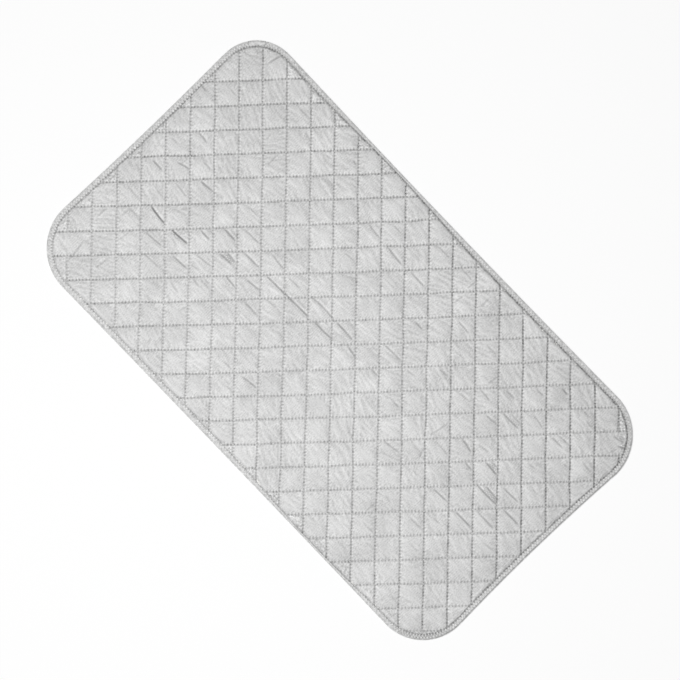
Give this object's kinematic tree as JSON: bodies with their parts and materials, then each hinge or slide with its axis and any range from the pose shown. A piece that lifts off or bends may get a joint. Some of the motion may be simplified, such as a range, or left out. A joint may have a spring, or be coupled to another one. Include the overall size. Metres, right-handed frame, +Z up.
{
  "type": "ironing pad",
  "caption": "Thin rounded rectangular ironing pad: diamond-quilted reflective cover over wadding and backing, edges bound in folded tape, flat magnets sewn into the corners.",
  "frame": {"origin": "on the table under the middle of the pad", "axes": "+X along the length, +Y across the width, +Z up out of the ironing side"},
  "size_m": [0.85, 0.48, 0.0054],
  "materials": {
    "cover": "silver-grey woven fabric with a metallised coat, satin",
    "wadding": "white polyester fibre wadding",
    "backing": "plain pale grey woven cloth",
    "binding": "silver-grey woven tape, matt",
    "binding_thread": "pale grey polyester sewing thread",
    "quilting_thread": "pale grey polyester sewing thread",
    "magnet": "plated disc magnet"
  },
  "bodies": {
    "root": {"cover_fabric": "cover", "wadding": "wadding", "backing_fabric": "backing", "edge_binding": "binding", "binding_needle_thread": "binding_thread", "binding_bobbin_thread": "binding_thread", "quilting_needle_thread_a": "quilting_thread", "quilting_needle_thread_b": "quilting_thread", "quilting_bobbin_thread_a": "quilting_thread", "quilting_bobbin_thread_b": "quilting_thread", "corner_magnet_1": "magnet", "corner_magnet_2": "magnet", "corner_magnet_3": "magnet", "corner_magnet_4": "magnet"}
  },
  "joints": []
}
